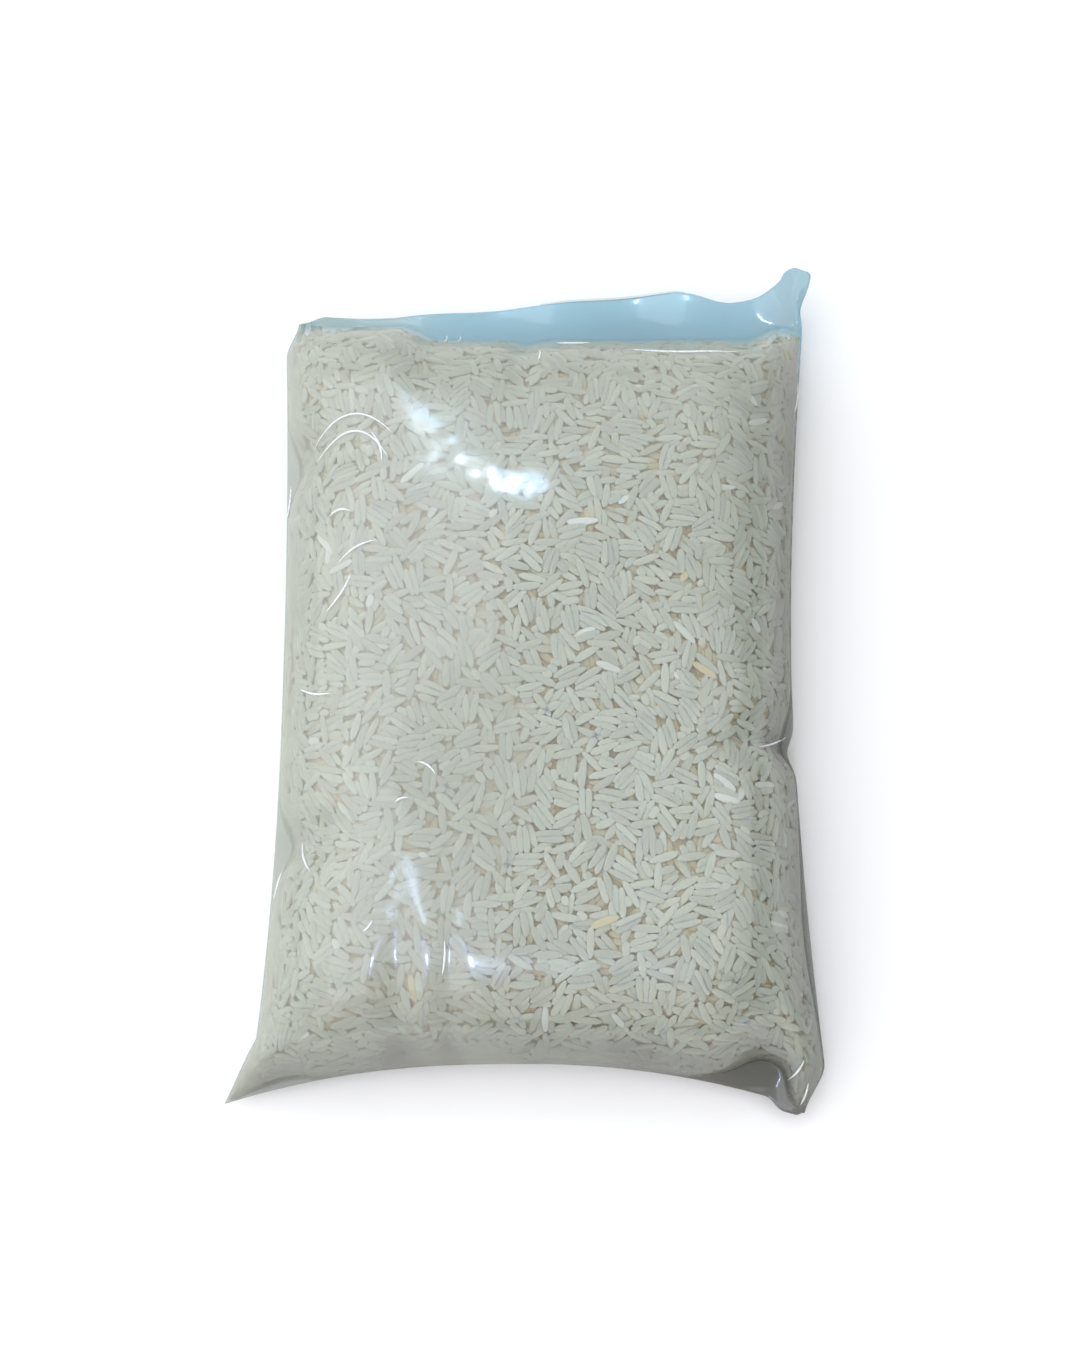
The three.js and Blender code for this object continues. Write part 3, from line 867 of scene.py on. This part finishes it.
def creaseMaterial():
    # Film folded sharply over itself: a glossy ridge, drawn milky white so that its thin lines show as
    # painted glints from every side
    material, tree = newMaterial("creasedFilmGlints")
    grain = addNode(tree, "ShaderNodeTexNoise", {"Scale": 600.0, "Detail": 1.0}, {})  # breaks of about 2 mm
    clear = addNode(tree, "ShaderNodeBsdfTransparent", {}, {})
    # painted glints: near-white milky film on the thin crease tubes
    paintedGlint = addNode(tree, "ShaderNodeBsdfPrincipled", {
        "Base Color": linear("#fcfeff"), "Roughness": 0.12, "IOR": 1.5,
    }, {})
    amount = addNode(tree, "ShaderNodeMapRange", {
        "From Min": 0.35, "From Max": 0.6, "To Min": 0.35, "To Max": 1.0,
    }, {"Value": grain.outputs["Fac"]})
    body = addNode(tree, "ShaderNodeMixShader", {},
                   {"Fac": amount.outputs["Result"], 1: clear.outputs[0], 2: paintedGlint.outputs[0]})
    addNode(tree, "ShaderNodeOutputMaterial", {}, {"Surface": body.outputs[0]})
    return material


def riceBehindMaterial():
    # The heap of rice behind the grains that show, coloured a darker, warmer tan than the grains as painted
    # shade: patches about as wide as a grain
    material, tree = newMaterial("riceBehind")
    patches = addNode(tree, "ShaderNodeTexVoronoi", {"Scale": 400.0}, {})  # 2.5 mm each
    colour = mixColour(tree, patches.outputs["Distance"], "#a39270", "#c0b08a")
    shader = addNode(tree, "ShaderNodeBsdfPrincipled", {"Roughness": 0.8}, {"Base Color": colour.outputs[2]})
    addNode(tree, "ShaderNodeOutputMaterial", {}, {"Surface": shader.outputs["BSDF"]})
    return material


def plainMaterial(name, hexColour, roughness):
    material, tree = newMaterial(name)
    shader = addNode(tree, "ShaderNodeBsdfPrincipled", {
        "Base Color": linear(hexColour), "Roughness": roughness,
    }, {})
    addNode(tree, "ShaderNodeOutputMaterial", {}, {"Surface": shader.outputs["BSDF"]})
    return material


# Pieces of the bag
def addPiece(piece, material):
    piece.data.materials.append(material)
    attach(piece, "root")
    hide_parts("rice_bag")
    return piece


wholeRice = riceMaterial("wholeRice", riceLooks["grey"], riceLooks["cream"], riceLooks["light"],
                         riceLooks["subsurface"])
chalkyRice = riceMaterial("chalkyRice", "#c2c9c1", "#cad1ca", "#d3d9d3", 0.2)
yellowRice = riceMaterial("yellowRice", "#bdb48c", "#c2ba96", "#c8c0a2", 0.3)
middleX = (ends[0][:, 0] + ends[1][:, 0]) / 2
luck = np.random.default_rng(3).random(len(grainLayer))
isWhole = grainKind == 0
isChalky = (luck < grains["chalkyShare"]) & (grainLayer == 0)
isYellow = (luck > 1 - grains["yellowShare"]) & (grainLayer == 0)
plainGrain = ~isChalky & ~isYellow
pieces = [
    ("rice_whole_left", isWhole & plainGrain & (grainLayer == 0) & (middleX < 0), 8, 6, 2.6, wholeRice),
    ("rice_whole_right", isWhole & plainGrain & (grainLayer == 0) & (middleX >= 0), 8, 6, 2.6, wholeRice),
    ("rice_behind", isWhole & plainGrain & (grainLayer == 1), 6, 4, 2.6, wholeRice),
    ("rice_underside", isWhole & plainGrain & (grainLayer == 2), 6, 4, 2.6, wholeRice),
    ("rice_side", isWhole & plainGrain & (grainLayer == 3), 6, 5, 2.6, wholeRice),
    ("rice_broken", (grainKind == 1) & plainGrain, 8, 4, 4.0, wholeRice),
    ("rice_chalky", isChalky, 8, 6, 2.6, chalkyRice),
    ("rice_yellowish", isYellow, 8, 6, 2.6, yellowRice),
]
for name, chosen, sides, stations, bluntness, material in pieces:
    piece = addPiece(grainPiece(name, np.flatnonzero(chosen), sides, stations, bluntness), material)
    triangleCount = len(piece.data.loops) - 2 * len(piece.data.polygons)
    report(f"{name}: {chosen.sum()} grains, {triangleCount} triangles")

corePoints, coreQuads = offsetCore()
core = makeMesh("rice_core", corePoints, coreQuads, np.zeros((0, 3), int))
addPiece(core, riceBehindMaterial())
clearFilm = filmMaterial()
addPiece(filmSheet("film_upper", film["across"], film["along"], True), clearFilm)
addPiece(filmSheet("film_lower", film["across"] // 2, film["along"] // 2, False), clearFilm)
addPiece(hemPiece("film_hem"), clearFilm)
addPiece(creasePiece("film_creases"), creaseMaterial())
report("pieces made")

# The stage: a pale floor, soft lights and the camera
floorSize, floorBelow = 3.0, 0.0004  # in metres
bpy.ops.mesh.primitive_plane_add(size=floorSize, location=(0, 0, -floorBelow))
floor = bpy.context.object
floor.name = "floor"
floor.data.materials.append(plainMaterial("paleFloor", "#f2f2f0", 0.9))

view = {"elevation": 76, "distance": 560, "target": (0, 0, 15), "lens": 52.3}


def placeCamera():
    tilt = math.radians(view["elevation"])
    target = Vector(toScene(view["target"]))
    place = target + Vector((0, -math.cos(tilt), math.sin(tilt))) * view["distance"] * mm
    data = bpy.data.cameras.new("camera")
    data.sensor_fit, data.sensor_height, data.lens = "VERTICAL", 36.0, view["lens"]
    camera = bpy.data.objects.new("camera", data)
    camera.location = place
    camera.rotation_euler = (target - place).to_track_quat("-Z", "Y").to_euler()
    bpy.context.scene.collection.objects.link(camera)
    bpy.context.scene.camera = camera


# Name, place, what it faces, size in X and Y, power in watts, colour, and whether it is round.
# The lamps stand where the film mirrors them to the camera.
lights = [
    ("softLeft", (-595, -200, 1042), None, 1000, 2500, 8.2, "#f3f5ff"),
    ("window", (-1150, 250, 600), (0, 0, 0), 1200, 900, 2.4, "#ffffff"),
    ("lamp", (-84, 590, 1040), None, 28, 38, 0.46, "#e4f4ff", True),
    ("lampHalo", (-84, 590, 1042), None, 110, 110, 0.36, "#9cd2ff", True),
    ("lampBelow", (-66, -10, 1042), None, 24, 200, 0.18, "#c8dcff", True),
    ("lampBelowHalo", (-76, -560, 1042), None, 75, 700, 0.65, "#a9bcff", True),
    ("lampFoot", (-64, -570, 1040), None, 24, 200, 0.6, "#d4e4ff", True),
    ("fillRight", (750, -100, 900), (40, -20, 20), 900, 900, 2.1, "#ffffff"),
    ("warmBelow", (40, -780, 420), (20, -60, 30), 1500, 500, 1.0, "#ffdcc8"),
]
skyLooks = {"towards": (-0.62, 0.42, 0.66), "from": -0.3, "to": 0.8, "darkest": 0.18, "brightest": 1.08}


def addLight(name, place, aim, sizeX, sizeY, power, hexColour, round=False):
    data = bpy.data.lights.new(name, "AREA")
    data.shape = "ELLIPSE" if round else "RECTANGLE"
    data.size, data.size_y = sizeX * mm, sizeY * mm
    data.energy, data.color = power, linear(hexColour)[:3]
    light = bpy.data.objects.new(name, data)
    light.location = toScene(place)
    if aim is not None:  # without an aim it faces straight down
        light.rotation_euler = (Vector(toScene(aim)) - light.location).to_track_quat("-Z", "Y").to_euler()
    bpy.context.scene.collection.objects.link(light)


placeCamera()
for settings in lights:
    addLight(*settings)
world = bpy.data.worlds.new("world")
bpy.context.scene.world = world
world.use_nodes = True
background = world.node_tree.nodes["Background"]
background.inputs["Color"].default_value = (1, 1, 1, 1)
direction = addNode(world.node_tree, "ShaderNodeTexCoord", {}, {})
towardsLight = addNode(world.node_tree, "ShaderNodeVectorMath", {
    "operation": "DOT_PRODUCT", 1: skyLooks["towards"],
}, {0: direction.outputs["Generated"]})
strength = addNode(world.node_tree, "ShaderNodeMapRange", {
    "From Min": skyLooks["from"], "From Max": skyLooks["to"],
    "To Min": skyLooks["darkest"], "To Max": skyLooks["brightest"],
}, {"Value": towardsLight.outputs["Value"]})
world.node_tree.links.new(strength.outputs["Result"], background.inputs["Strength"])
bpy.context.scene.view_settings.view_transform = "Standard"

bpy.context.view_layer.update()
report("scene ready")
